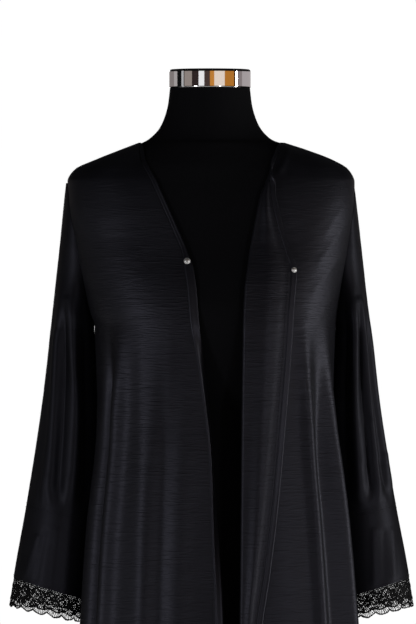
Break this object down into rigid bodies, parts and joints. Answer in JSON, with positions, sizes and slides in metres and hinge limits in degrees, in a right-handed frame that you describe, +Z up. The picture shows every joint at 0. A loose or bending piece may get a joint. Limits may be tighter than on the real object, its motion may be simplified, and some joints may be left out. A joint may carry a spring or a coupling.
{
  "type": "open abaya cloak on a dress form",
  "caption": "Black open-front long abaya cloak with a lapel, bell cuffs edged with lace and snap fasteners, on a limbless dress form with a chrome neck cap and stand.",
  "frame": {"origin": "centre of the stand base's underside, on the floor", "axes": "+X to the viewer's right as the picture shows the front, the wearer's left; +Y away from the viewer, out of the garment's back; +Z up"},
  "size_m": [0.5904, 0.3936, 1.5573],
  "materials": {
    "back_panel_cloth": "black satin-backed crepe, finely crinkled, soft sheen",
    "right_front_cloth": "black satin-backed crepe, finely crinkled, soft sheen",
    "left_front_cloth": "black satin-backed crepe, finely crinkled, soft sheen",
    "right_front_band_cloth": "black satin binding, soft sheen",
    "left_front_band_cloth": "black satin binding, soft sheen",
    "neck_band_cloth": "black satin binding, soft sheen",
    "right_sleeve_cloth": "black satin-backed crepe, smooth, soft sheen",
    "right_cuff_cloth": "black satin-backed crepe, smooth, soft sheen",
    "right_lace_front_cloth": "black floral lace edging, matt",
    "right_lace_back_cloth": "black floral lace edging, matt",
    "left_sleeve_cloth": "black satin-backed crepe, smooth, soft sheen",
    "left_cuff_cloth": "black satin-backed crepe, smooth, soft sheen",
    "left_lace_front_cloth": "black floral lace edging, matt",
    "left_lace_back_cloth": "black floral lace edging, matt",
    "right_snap_metal": "bright nickel-plated stud",
    "left_snap_metal": "bright nickel-plated stud",
    "form_black": "smooth black, half gloss",
    "chrome_neck_cap": "polished chrome",
    "stand_pole_metal": "satin steel tube",
    "stand_base_metal": "satin steel disc"
  },
  "bodies": {
    "root": {"back_panel": "back_panel_cloth", "right_front": "right_front_cloth", "left_front": "left_front_cloth", "right_front_band": "right_front_band_cloth", "left_front_band": "left_front_band_cloth", "neck_band": "neck_band_cloth", "right_sleeve": "right_sleeve_cloth", "right_cuff": "right_cuff_cloth", "right_lace_front": "right_lace_front_cloth", "right_lace_back": "right_lace_back_cloth", "left_sleeve": "left_sleeve_cloth", "left_cuff": "left_cuff_cloth", "left_lace_front": "left_lace_front_cloth", "left_lace_back": "left_lace_back_cloth", "right_snap": "right_snap_metal", "left_snap": "left_snap_metal", "form_torso": "form_black", "neck_cap": "chrome_neck_cap", "stand_pole": "stand_pole_metal", "stand_base": "stand_base_metal"}
  },
  "joints": []
}
